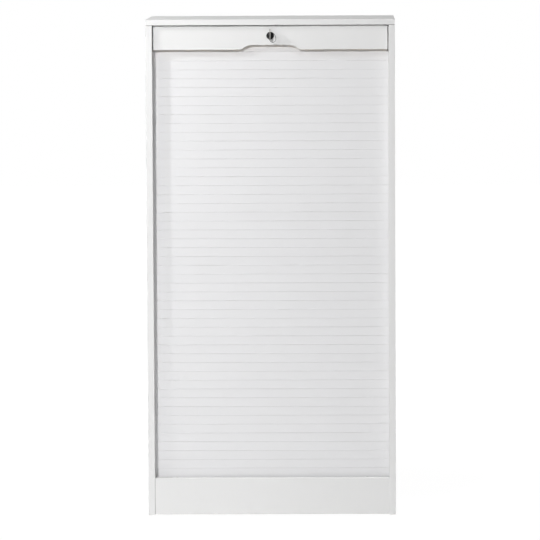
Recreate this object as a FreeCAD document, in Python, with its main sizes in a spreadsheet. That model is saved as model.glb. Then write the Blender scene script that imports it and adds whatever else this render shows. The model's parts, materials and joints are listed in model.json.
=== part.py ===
import FreeCAD, Part
import math
import os
import re
import Sketcher

# Tall white storage cabinet with a tambour door: a slatted curtain that a handle bar pulls down.
# Millimetres. X runs to the right, Y to the back, Z up. The origin is on the floor, mid-footprint.

SIZES = {
    # Carcass
    "cabinet_width": 700,
    "cabinet_height": 1404,
    "cabinet_depth": 400,
    "side_thickness": 18,
    "board_thickness": 16,
    "edge_round": 0.8,
    "plinth_height": 103,
    "plinth_floor_gap": 2,
    "plinth_setback": 1,
    "rail_height": 45,
    "rail_inset": 100,
    "glide_height": 3,
    "glide_diameter": 16,
    "glide_nail_diameter": 2,
    "glide_nail_length": 14,
    "glide_inset": 45,
    # Outer and inner back panels
    "back_thickness": 3,
    "back_inset": 2.5,
    "back_rebate": 9,
    "back_clearance": 0.5,
    "back_floor_gap": 8,
    "back_screw_count": 7,
    "back_screw_margin": 60,
    "inner_back_setback": 24,
    "inner_back_groove": 8,
    "inner_back_play": 0.2,
    # Shelves and their pins
    "shelf_setback": 45,
    "shelf_bay": 326,
    "shelf_side_clearance": 1,
    "shelf_back_clearance": 1,
    "pin_diameter": 5,
    "pin_length": 17,
    "pin_depth": 8.5,
    "pin_pitch": 32,
    "pin_row_count": 5,
    "pin_inset": 40,
    # Knock-down fittings
    "drill_clearance": 0.1,
    "drill_end_play": 0.5,
    "dowel_diameter": 8,
    "dowel_length": 30,
    "dowel_shallow": 10,
    "dowel_inset": 50,
    "cam_disc_diameter": 15,
    "cam_disc_depth": 12.5,
    "cam_disc_slot": 2,
    "cam_distance": 24,
    "cam_inset": 85,
    "bolt_thread_diameter": 6,
    "bolt_thread_length": 10,
    "bolt_shank_diameter": 5,
    "bolt_head_diameter": 7,
    "bolt_head_length": 4,
    "screw_shank_diameter": 3,
    "screw_head_diameter": 7,
    "screw_head_height": 2,
    "screw_length": 14,
    # Handle bar
    "bar_height": 67.5,
    "bar_thickness": 16,
    "bar_setback": 13,
    "bar_top_gap": 2,
    "bar_side_gap": 2.5,
    "bar_round": 1,
    "notch_flat": 98,
    "notch_shoulder": 33,
    "notch_height": 13.5,
    "runner_plate": 30,
    "runner_height": 36,
    "runner_drop": 7,
    "buffer_diameter": 7,
    "buffer_thickness": 1.5,
    "buffer_inset": 60,
    # Slatted curtain and the grooves it runs in
    "slat_count": 49,
    "slat_pitch": 25.1,
    "slat_gap": 0.6,
    "slat_thickness": 6,
    "slat_round": 1,
    "slat_end_clearance": 1,
    "slat_rear_play": 0.3,
    "bar_back_gap": 1,
    "strip_overhang": 6.2,
    "strip_screw_inset": 40,
    "bead_diameter": 2.2,
    "bead_clearance": 0.15,
    "bead_rise": 1.9,
    "bead_inset": 3.6,
    "neck_thickness": 1,
    "neck_clearance": 0.35,
    "groove_depth": 8,
    "groove_width": 8,
    "bend_radius": 50,
    "base_run_height": 20,
    "rear_run_setback": 12,
    "rear_run_top": 880,
    # Lock and its strike
    "lock_drop": 28,
    "rosette_diameter": 21,
    "rosette_thickness": 3,
    "rosette_chamfer": 0.8,
    "barrel_diameter": 16,
    "barrel_spare": 0.2,
    "lock_hole_clearance": 0.2,
    "plug_diameter": 11,
    "plug_fit": 0.05,
    "plug_lip_diameter": 13,
    "plug_lip_thickness": 1.2,
    "plug_proud": 0.5,
    "nut_across": 22,
    "nut_thickness": 4,
    "nut_fit": 0.1,
    "cam_gap": 0.3,
    "cam_width": 13,
    "cam_thickness": 2,
    "cam_top_clearance": 5.5,
    "tail_square": 7,
    "tail_fit": 0.1,
    "cam_screw_diameter": 4,
    "cam_screw_length": 7,
    "cam_screw_head_diameter": 8,
    "cam_screw_head_height": 2.2,
    "strike_width": 24,
    "strike_thickness": 2,
    "strike_gap": 0.8,
    "strike_flange": 20,
    # Key and key ring
    "keyway_width": 2.4,
    "keyway_height": 9,
    "keyway_depth": 16,
    "key_thickness": 2,
    "key_blade_height": 8.4,
    "key_blade_length": 15,
    "key_shoulder_gap": 1,
    "key_tooth_pitch": 3,
    "key_tooth_depth": 1.6,
    "bow_height": 32,
    "bow_depth": 20,
    "bow_offset": 3,
    "bow_round": 8,
    "key_hole_diameter": 7.2,
    "key_hole_rise": 10,
    "key_hole_reach": 11,
    "ring_radius": 15,
    "ring_wire_diameter": 1.6,
    "ring_lean": 21,
    "ring_turn": 48,
}

# Planes that several pieces share, as formulas of the sizes above
FRONT = "(-cabinet_depth / 2)"
REAR = "(cabinet_depth / 2)"
INNER_WIDTH = "(cabinet_width - 2 * side_thickness)"
TOP_UNDERSIDE = "(cabinet_height - board_thickness)"
SIDE_HEIGHT = f"({TOP_UNDERSIDE} - glide_height)"
PLINTH_BOTTOM = "(glide_height + plinth_floor_gap)"
PLINTH_TOP = f"({PLINTH_BOTTOM} + plinth_height)"
FLOOR_UNDERSIDE = f"({PLINTH_TOP} - board_thickness)"
SHELF_FRONT = f"({FRONT} + shelf_setback)"
INNER_BACK_FRONT = f"({REAR} - inner_back_setback)"
BACK_FRONT = f"({REAR} - back_inset - back_thickness)"
BACK_HEIGHT = f"({TOP_UNDERSIDE} - back_clearance - back_floor_gap)"
LOWER_SHELF = f"({PLINTH_TOP} + shelf_bay)"
FIXED_SHELF = f"({LOWER_SHELF} + board_thickness + shelf_bay)"
UPPER_SHELF = f"({FIXED_SHELF} + board_thickness + shelf_bay)"
RAIL_FRONT = f"({INNER_BACK_FRONT} - rail_inset)"
RAIL_BOTTOM = f"({FLOOR_UNDERSIDE} - rail_height)"
BAR_FRONT = f"({FRONT} + bar_setback)"
BAR_BACK = f"({BAR_FRONT} + bar_thickness)"
BAR_LENGTH = f"({INNER_WIDTH} - 2 * bar_side_gap)"
BAR_TOP = f"({TOP_UNDERSIDE} - bar_top_gap)"
BAR_BOTTOM = f"({BAR_TOP} - bar_height)"
SLAT_FRONT = f"({BAR_BACK} + bar_back_gap)"
SLAT_BACK = f"({SLAT_FRONT} + slat_thickness)"
SLAT_LENGTH = f"({INNER_WIDTH} + 2 * groove_depth - 2 * slat_end_clearance)"
FIRST_JOINT = f"({BAR_BOTTOM} - strip_overhang)"
STRIP_HEIGHT = "(strip_overhang + notch_height)"
STRIP_DEPTH = "(bar_back_gap + slat_thickness)"
STRIP_SCREW_LEVEL = f"({BAR_BOTTOM} + notch_height / 2)"
RUNNER_TOP = f"({BAR_TOP} - runner_drop)"
LOCK_LEVEL = f"({BAR_TOP} - lock_drop)"
BARREL_LENGTH = "(bar_thickness + nut_thickness + barrel_spare)"
PLUG_LENGTH = f"({BARREL_LENGTH} + cam_gap)"
PLUG_FACE = "(rosette_thickness + plug_proud)"
CAM_REACH = "(lock_drop + bar_top_gap - cam_top_clearance)"
CAM_FRONT = f"({BAR_FRONT} + {PLUG_LENGTH})"
CAM_BACK = f"({CAM_FRONT} + cam_thickness)"
STRIKE_LEFT = f"({CAM_REACH} - strike_width / 2)"
STRIKE_FRONT = f"({CAM_BACK} + strike_gap)"
STRIKE_TONGUE = f"({LOCK_LEVEL} - cam_width / 2 - strike_gap - strike_thickness)"
BOW_START = f"({PLUG_FACE} + key_shoulder_gap)"
DOWEL_BORE = "(dowel_diameter + 2 * drill_clearance)"
DOWEL_DEEP = "(dowel_length - dowel_shallow)"
BOLT_BORE = "(bolt_head_diameter + 2 * drill_clearance)"
THREAD_BORE = "(bolt_thread_diameter + 2 * drill_clearance)"
DISC_BORE = "(cam_disc_diameter + 2 * drill_clearance)"
SCREW_BORE = "(screw_shank_diameter + 2 * drill_clearance)"
PIN_BORE = "(pin_diameter + 2 * drill_clearance)"

DIRECTIONS = {
    "+X": FreeCAD.Vector(1, 0, 0),
    "-X": FreeCAD.Vector(-1, 0, 0),
    "+Y": FreeCAD.Vector(0, 1, 0),
    "-Y": FreeCAD.Vector(0, -1, 0),
    "+Z": FreeCAD.Vector(0, 0, 1),
    "-Z": FreeCAD.Vector(0, 0, -1),
}

doc = FreeCAD.newDocument("tambour_cabinet")
sheet = doc.addObject("Spreadsheet::Sheet", "Sizes")
for row, (alias, amount) in enumerate(SIZES.items(), start=1):
    sheet.set(f"A{row}", alias)
    sheet.set(f"B{row}", str(amount))
    sheet.setAlias(f"B{row}", alias)
doc.recompute()

pieces = []


def bound(formula):
    """Write a formula of size names as an expression that reads the sheet."""
    return re.sub(r"[a-z_]+", lambda word: f"Sizes.{word[0]}" if word[0] in SIZES else word[0], formula)


def number(formula):
    """Work out a formula of size names."""
    return float(sheet.evalExpression(bound(formula)))


def bind(item, prop, formula):
    item.setExpression(prop, bound(formula))


def piece(item, label):
    """Give a finished sub-part the name of its file."""
    item.Label = label
    pieces.append(item)
    return item


def place(item, x, y, z):
    for axis, formula in zip("xyz", (x, y, z)):
        bind(item, f"Placement.Base.{axis}", formula)


def new_body(label):
    return piece(doc.addObject("PartDesign::Body", label), label)


def new_sketch(body, role, offset="0"):
    """A sketch on one of the body's own origin planes, moved along the plane's normal."""
    plane = next(feature for feature in body.Origin.OriginFeatures if feature.Role == role)
    sketch = body.newObject("Sketcher::SketchObject", "Sketch")
    sketch.AttachmentSupport = [(plane, "")]
    sketch.MapMode = "FlatFace"
    if offset != "0":
        bind(sketch, "AttachmentOffset.Base.z", offset)
    return sketch


def flat(across, up):
    return FreeCAD.Vector(number(across), number(up), 0)


def pin_point(sketch, geometry, end, across, up):
    """Hold one point of a sketch at its two distances from the sketch's origin."""
    for kind, axis, formula in (("DistanceX", -2, across), ("DistanceY", -1, up)):
        if formula == "0":
            sketch.addConstraint(Sketcher.Constraint("PointOnObject", geometry, end, axis))
            continue
        rule = Sketcher.Constraint(kind, -1, 1, geometry, end, number(formula))
        bind(sketch, f"Constraints[{sketch.addConstraint(rule)}]", formula)


def outline(sketch, corners):
    """A closed outline of straight lines through the corners."""
    first = sketch.GeometryCount
    count = len(corners)
    for start, end in zip(corners, corners[1:] + corners[:1]):
        sketch.addGeometry(Part.LineSegment(flat(*start), flat(*end)))
    for index, corner in enumerate(corners):
        following = first + (index + 1) % count
        sketch.addConstraint(Sketcher.Constraint("Coincident", first + index, 2, following, 1))
        pin_point(sketch, first + index, 1, *corner)


def rectangle(sketch, left, low, right, high):
    outline(sketch, [(left, low), (right, low), (right, high), (left, high)])


def circle(sketch, across, up, diameter):
    ring = Part.Circle(flat(across, up), FreeCAD.Vector(0, 0, 1), number(diameter) / 2)
    index = sketch.addGeometry(ring)
    pin_point(sketch, index, 3, across, up)
    rule = sketch.addConstraint(Sketcher.Constraint("Diameter", index, number(diameter)))
    bind(sketch, f"Constraints[{rule}]", diameter)


def quarter_arc(sketch, centre, radius, start_degrees):
    """A quarter of a circle, counter-clockwise from its start angle."""
    whole = Part.Circle(flat(*centre), FreeCAD.Vector(0, 0, 1), number(radius))
    start = math.radians(start_degrees)
    return sketch.addGeometry(Part.ArcOfCircle(whole, start, start + math.pi / 2))


def pad(body, sketch, length, reverse=False, middle=False):
    feature = body.newObject("PartDesign::Pad", "Pad")
    feature.Profile = sketch
    bind(feature, "Length", length)
    feature.Reversed = reverse
    if middle:
        feature.SideType = "Symmetric"
    doc.recompute()
    return feature


def pocket(body, sketch, depth, reverse=False):
    """Cut a sketch into the body, and make sure that it took something away."""
    before = body.Tip.Shape.Volume
    feature = body.newObject("PartDesign::Pocket", "Pocket")
    feature.Profile = sketch
    bind(feature, "Length", depth)
    feature.Reversed = reverse
    doc.recompute()
    if body.Tip.Shape.Volume > before - 1e-6:
        raise RuntimeError(f"a cut in {body.Label} removed nothing")


def drill(body, role, offset, spots, diameter, depth, reverse=False):
    """Drill a set of equal round holes from one plane."""
    sketch = new_sketch(body, role, offset)
    for across, up in spots:
        circle(sketch, across, up, diameter)
    pocket(body, sketch, depth, reverse)


def soften(body, radius, *lines):
    """Round the straight edges that lie at all the given coordinates of one of the lines."""
    base = body.Tip
    wanted = [{axis: number(formula) for axis, formula in line.items()} for line in lines]
    names = []
    for index, edge in enumerate(base.Shape.Edges, start=1):
        ends = [vertex.Point for vertex in edge.Vertexes]
        for line in wanted:
            if all(abs(getattr(end, axis) - at) < 1e-4 for end in ends for axis, at in line.items()):
                names.append(f"Edge{index}")
                break
    feature = body.newObject("PartDesign::Fillet", "Fillet")
    feature.Base = (base, names)
    bind(feature, "Radius", radius)
    doc.recompute()


def board(label, width, depth, height):
    """A plain board with its lowest corner at its own origin."""
    body = new_body(label)
    sketch = new_sketch(body, "XY_Plane")
    rectangle(sketch, "0", "0", width, depth)
    pad(body, sketch, height)
    return body


def turned(label, profile, keep=True):
    """A round piece turned about its own Z axis from corners given as radius and height."""
    body = new_body(label) if keep else doc.addObject("PartDesign::Body", label)
    sketch = new_sketch(body, "XZ_Plane")
    outline(sketch, profile)
    feature = body.newObject("PartDesign::Revolution", "Revolution")
    feature.Profile = sketch
    feature.ReferenceAxis = (sketch, ["V_Axis"])
    feature.Angle = 360
    doc.recompute()
    return body


def face_front(body):
    """Turn a lock piece so that its own Z axis points out of the front and its Y axis up."""
    body.Placement.Rotation = FreeCAD.Rotation(FreeCAD.Vector(1, 0, 0), 90)


def spread(label, master, spots):
    """Copies of one fitting as separate solids: where each stands, what it faces, where its X points."""
    solids = []
    for x, y, z, facing, *pointing in spots:
        turn = FreeCAD.Rotation(FreeCAD.Vector(0, 0, 1), DIRECTIONS[facing])
        if pointing:
            side, out = DIRECTIONS[pointing[0]], DIRECTIONS[facing]
            turn = FreeCAD.Rotation(side, out.cross(side), out, "ZXY")
        copy = master.Shape.copy()
        copy.Placement = FreeCAD.Placement(FreeCAD.Vector(number(x), number(y), number(z)), turn)
        solids.append(copy)
    group = piece(doc.addObject("Part::Feature", label), label)
    group.Shape = Part.makeCompound(solids)


# Where the fittings go: each list is used by the fitting and by every hole that takes it
BUTTED_BOARDS = [
    (SHELF_FRONT, f"({INNER_BACK_FRONT} + back_thickness)", FLOOR_UNDERSIDE),
    (SHELF_FRONT, f"({INNER_BACK_FRONT} - shelf_back_clearance)", FIXED_SHELF),
]
BUTT_DOWELS = []
BUTT_BOLTS = []
for board_front, board_rear, underside in BUTTED_BOARDS:
    middle_level = f"{underside} + board_thickness / 2"
    for y in (f"{board_front} + dowel_inset", f"{board_rear} - dowel_inset"):
        BUTT_DOWELS.append((y, middle_level))
    for y in (f"{board_front} + cam_inset", f"{board_rear} - cam_inset"):
        BUTT_BOLTS.append((y, middle_level))
PLINTH_MIDDLE = f"{FRONT} + plinth_setback + board_thickness / 2"
PLINTH_DOWELS = [
    (PLINTH_MIDDLE, f"{PLINTH_BOTTOM} + plinth_height / 4"),
    (PLINTH_MIDDLE, f"{PLINTH_TOP} - plinth_height / 4"),
]
RAIL_MIDDLE = f"{RAIL_FRONT} + board_thickness / 2"
RAIL_DOWELS = [
    (RAIL_MIDDLE, f"{RAIL_BOTTOM} + rail_height / 4"),
    (RAIL_MIDDLE, f"{RAIL_BOTTOM} + rail_height * 3 / 4"),
]
TOP_DOWEL_ROWS = [f"{FRONT} + dowel_inset", "0", f"{REAR} - dowel_inset"]
TOP_BOLT_ROWS = [f"{FRONT} + cam_inset", f"{REAR} - cam_inset"]
TOP_FIXING_OUT = f"({INNER_WIDTH} / 2 + board_thickness / 2)"
PIN_COLUMNS = [f"{SHELF_FRONT} + pin_inset", f"{INNER_BACK_FRONT} - pin_inset"]
PIN_LEVELS = [f"{shelf} - pin_diameter / 2" for shelf in (LOWER_SHELF, UPPER_SHELF)]
PIN_COUNT = int(SIZES["pin_row_count"])
PIN_STEPS = range(-(PIN_COUNT // 2), PIN_COUNT - PIN_COUNT // 2)
BACK_SCREW_OUT = f"({INNER_WIDTH} / 2 + back_rebate / 2)"
BACK_SCREW_LEVELS = [
    f"back_floor_gap + back_screw_margin + {step} * ({BACK_HEIGHT} - 2 * back_screw_margin)"
    " / (back_screw_count - 1)"
    for step in range(int(SIZES["back_screw_count"]))
]
STRIP_SCREWS = [
    f"{BAR_LENGTH} / 2 - strip_screw_inset",
    "notch_flat / 2 + notch_shoulder + strip_screw_inset",
]
RUNNER_SCREW_OUT = f"({BAR_LENGTH} / 2 - runner_plate / 2)"
RUNNER_SCREW_LEVELS = [f"{RUNNER_TOP} - runner_height / 4", f"{RUNNER_TOP} - runner_height * 3 / 4"]
STRIKE_SCREWS = [f"{STRIKE_LEFT} + strike_width / 4", f"{STRIKE_LEFT} + strike_width * 3 / 4"]
STRIKE_SCREW_ROW = f"({STRIKE_FRONT} + strike_thickness + strike_flange / 2)"
GLIDE_ROWS = [f"{FRONT} + glide_inset", f"{REAR} - glide_inset"]
BUFFER_OUT = f"({BAR_LENGTH} / 2 - buffer_inset)"
SIDES = (-1, 1)


def cut_track(body, inner_face, groove_floor):
    """Rout the groove that guides the slat ends: down the front, under the floor, up the back."""
    front_run = f"({SLAT_BACK} - {FRONT} + slat_rear_play - groove_width / 2)"
    rear_run = "(cabinet_depth - rear_run_setback)"
    base_run = "(base_run_height - glide_height)"
    bend_top = f"({base_run} + bend_radius)"
    rear_top = "(rear_run_top - glide_height)"
    path = new_sketch(body, "YZ_Plane", inner_face)
    corners = [
        (front_run, SIDE_HEIGHT),
        (front_run, bend_top),
        (f"{front_run} + bend_radius", base_run),
        (f"{rear_run} - bend_radius", base_run),
        (rear_run, bend_top),
        (rear_run, rear_top),
    ]
    down = path.addGeometry(Part.LineSegment(flat(*corners[0]), flat(*corners[1])))
    front_bend = quarter_arc(path, (f"{front_run} + bend_radius", bend_top), "bend_radius", 180)
    along = path.addGeometry(Part.LineSegment(flat(*corners[2]), flat(*corners[3])))
    rear_bend = quarter_arc(path, (f"{rear_run} - bend_radius", bend_top), "bend_radius", 270)
    up = path.addGeometry(Part.LineSegment(flat(*corners[4]), flat(*corners[5])))
    chain = [down, front_bend, along, rear_bend, up]
    for before, after in zip(chain, chain[1:]):
        path.addConstraint(Sketcher.Constraint("Coincident", before, 2, after, 1))
    for geometry, corner in zip(chain, corners):
        pin_point(path, geometry, 1, *corner)
    pin_point(path, up, 2, *corners[5])
    front_centre, rear_centre = f"{front_run} + bend_radius", f"{rear_run} - bend_radius"
    for bend, centre in ((front_bend, front_centre), (rear_bend, rear_centre)):
        rule = Sketcher.Constraint("DistanceX", -1, 1, bend, 3, number(centre))
        bind(path, f"Constraints[{path.addConstraint(rule)}]", centre)
    cutter = new_sketch(body, "XY_Plane", SIDE_HEIGHT)
    near, far = f"{front_run} - groove_width / 2", f"{front_run} + groove_width / 2"
    rectangle(cutter, groove_floor, near, inner_face, far)
    groove = body.newObject("PartDesign::SubtractivePipe", "Groove")
    groove.Profile = cutter
    groove.Spine = path
    doc.recompute()


def side_panel(label, side):
    """One upright: back rebate, curtain groove, inner back slot and every hole for pins and fittings."""
    left = side < 0
    inner = "side_thickness" if left else "0"
    inward = "-" if left else ""
    step = "side_thickness - back_rebate" if left else "back_rebate"
    outer = "0" if left else "side_thickness"
    rebate_start = "(cabinet_depth - back_inset - back_thickness)"
    body = new_body(label)
    plan = new_sketch(body, "XY_Plane")
    corners = [(outer, "0"), (inner, "0"), (inner, rebate_start), (step, rebate_start)]
    outline(plan, corners + [(step, "cabinet_depth"), (outer, "cabinet_depth")])
    pad(body, plan, SIDE_HEIGHT)
    soften(body, "edge_round", {"y": "0", "x": "0"}, {"y": "0", "x": "side_thickness"})

    def across(y):
        return f"{y} + cabinet_depth / 2"

    def level(z):
        return f"{z} - glide_height"

    def from_inside(depth):
        return f"{inner} {inward} {depth}" if inner != "0" else depth

    cut_track(body, inner, from_inside("groove_depth"))
    slot = new_sketch(body, "YZ_Plane", inner)
    slot_front = across(f"{INNER_BACK_FRONT} - inner_back_play")
    slot_rear = across(f"{INNER_BACK_FRONT} + back_thickness + inner_back_play")
    rectangle(slot, slot_front, level(PLINTH_TOP), slot_rear, SIDE_HEIGHT)
    pocket(body, slot, "inner_back_groove", not left)

    def drill_inside(spots, diameter, depth):
        drill(body, "YZ_Plane", inner, [(across(y), level(z)) for y, z in spots], diameter, depth, not left)

    drill_inside(BUTT_DOWELS + PLINTH_DOWELS + RAIL_DOWELS, DOWEL_BORE, "dowel_shallow + drill_end_play")
    drill_inside(BUTT_BOLTS, THREAD_BORE, "bolt_thread_length + drill_end_play")
    pins = [(y, f"{z} + {step} * pin_pitch") for y in PIN_COLUMNS for z in PIN_LEVELS for step in PIN_STEPS]
    drill_inside(pins, PIN_BORE, "pin_depth + drill_end_play")
    discs = [(y, f"{TOP_UNDERSIDE} - cam_distance") for y in TOP_BOLT_ROWS]
    drill_inside(discs, DISC_BORE, "cam_disc_depth + drill_end_play")
    top_line = from_inside("board_thickness / 2")
    dowels = [(top_line, across(y)) for y in TOP_DOWEL_ROWS]
    drill(body, "XY_Plane", SIDE_HEIGHT, dowels, DOWEL_BORE, f"{DOWEL_DEEP} + drill_end_play")
    bolts = [(top_line, across(y)) for y in TOP_BOLT_ROWS]
    drill(body, "XY_Plane", SIDE_HEIGHT, bolts, BOLT_BORE, "cam_distance")
    nails = [("side_thickness / 2", across(y)) for y in GLIDE_ROWS]
    nail_bore = "glide_nail_diameter + 2 * drill_clearance"
    drill(body, "XY_Plane", "0", nails, nail_bore, "glide_nail_length + drill_end_play", True)
    screws = [(from_inside("back_rebate / 2"), level(z)) for z in BACK_SCREW_LEVELS]
    screw_depth = "screw_length - back_thickness + drill_end_play"
    drill(body, "XZ_Plane", f"-{rebate_start}", screws, SCREW_BORE, screw_depth, True)
    outside = "-cabinet_width / 2" if left else "cabinet_width / 2 - side_thickness"
    place(body, outside, FRONT, "glide_height")


def end_dowels(body, length, spots):
    """Dowel holes in both ends of a board that stands between the side panels."""
    drill(body, "YZ_Plane", "0", spots, DOWEL_BORE, f"{DOWEL_DEEP} + drill_end_play", True)
    drill(body, "YZ_Plane", length, spots, DOWEL_BORE, f"{DOWEL_DEEP} + drill_end_play")


def butted_board(label, front, rear, underside):
    """A board fixed between the side panels with dowels and cam fittings."""
    depth = f"({rear} - {front})"
    body = board(label, INNER_WIDTH, depth, "board_thickness")
    soften(body, "edge_round", {"y": "0", "z": "0"}, {"y": "0", "z": "board_thickness"})
    middle = "board_thickness / 2"
    end_dowels(body, INNER_WIDTH, [("dowel_inset", middle), (f"{depth} - dowel_inset", middle)])
    rows = ["cam_inset", f"{depth} - cam_inset"]
    bolts = [(row, middle) for row in rows]
    drill(body, "YZ_Plane", "0", bolts, BOLT_BORE, "cam_distance", True)
    drill(body, "YZ_Plane", INNER_WIDTH, bolts, BOLT_BORE, "cam_distance")
    discs = [(x, row) for x in ("cam_distance", f"{INNER_WIDTH} - cam_distance") for row in rows]
    drill(body, "XY_Plane", "0", discs, DISC_BORE, "cam_disc_depth + drill_end_play", True)
    place(body, f"-{INNER_WIDTH} / 2", front, underside)


def carcass():
    side_panel("left_side_panel", -1)
    side_panel("right_side_panel", 1)

    top = board("top_panel", "cabinet_width", "cabinet_depth", "board_thickness")
    soften(top, "edge_round", {"z": "board_thickness"}, {"y": "0", "z": "0"})
    lines = [f"cabinet_width / 2 + {side} * {TOP_FIXING_OUT}" for side in SIDES]
    dowels = [(x, f"{y} + cabinet_depth / 2") for x in lines for y in TOP_DOWEL_ROWS]
    drill(top, "XY_Plane", "0", dowels, DOWEL_BORE, "dowel_shallow + drill_end_play", True)
    bolts = [(x, f"{y} + cabinet_depth / 2") for x in lines for y in TOP_BOLT_ROWS]
    drill(top, "XY_Plane", "0", bolts, THREAD_BORE, "bolt_thread_length + drill_end_play", True)
    screw_row = f"{STRIKE_SCREW_ROW} + cabinet_depth / 2"
    screws = [(f"{x} + cabinet_width / 2", screw_row) for x in STRIKE_SCREWS]
    screw_depth = "screw_length - strike_thickness + drill_end_play"
    drill(top, "XY_Plane", "0", screws, SCREW_BORE, screw_depth, True)
    place(top, "-cabinet_width / 2", FRONT, TOP_UNDERSIDE)

    butted_board("bottom_panel", *BUTTED_BOARDS[0])
    butted_board("fixed_shelf", *BUTTED_BOARDS[1])

    plinth = board("front_plinth", INNER_WIDTH, "board_thickness", "plinth_height")
    top_edges = [{"z": "plinth_height", "y": y} for y in ("0", "board_thickness")]
    soften(plinth, "edge_round", *top_edges)
    middle = "board_thickness / 2"
    end_dowels(plinth, INNER_WIDTH, [(middle, "plinth_height / 4"), (middle, "plinth_height * 3 / 4")])
    place(plinth, f"-{INNER_WIDTH} / 2", f"{FRONT} + plinth_setback", PLINTH_BOTTOM)

    rail = board("base_rail", INNER_WIDTH, "board_thickness", "rail_height")
    end_dowels(rail, INNER_WIDTH, [(middle, "rail_height / 4"), (middle, "rail_height * 3 / 4")])
    place(rail, f"-{INNER_WIDTH} / 2", RAIL_FRONT, RAIL_BOTTOM)

    shelf_width = f"({INNER_WIDTH} - 2 * shelf_side_clearance)"
    shelf_depth = f"({INNER_BACK_FRONT} - shelf_back_clearance - {SHELF_FRONT})"
    for label, underside in (("lower_shelf", LOWER_SHELF), ("upper_shelf", UPPER_SHELF)):
        shelf = board(label, shelf_width, shelf_depth, "board_thickness")
        soften(shelf, "edge_round", {"y": "0", "z": "0"}, {"y": "0", "z": "board_thickness"})
        place(shelf, f"-{shelf_width} / 2", SHELF_FRONT, underside)

    inner_width = f"({INNER_WIDTH} + 2 * inner_back_groove - 2 * back_clearance)"
    inner_height = f"({TOP_UNDERSIDE} - back_clearance - {PLINTH_TOP})"
    inner = board("inner_back_panel", inner_width, "back_thickness", inner_height)
    place(inner, f"-{inner_width} / 2", INNER_BACK_FRONT, PLINTH_TOP)

    back_width = f"({INNER_WIDTH} + 2 * back_rebate - 2 * back_clearance)"
    back = board("back_panel", back_width, "back_thickness", BACK_HEIGHT)
    columns = [f"{back_width} / 2 + {side} * {BACK_SCREW_OUT}" for side in SIDES]
    holes = [(x, f"{z} - back_floor_gap") for x in columns for z in BACK_SCREW_LEVELS]
    drill(back, "XZ_Plane", "0", holes, SCREW_BORE, "back_thickness")
    place(back, f"-{back_width} / 2", BACK_FRONT, "back_floor_gap")


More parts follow.
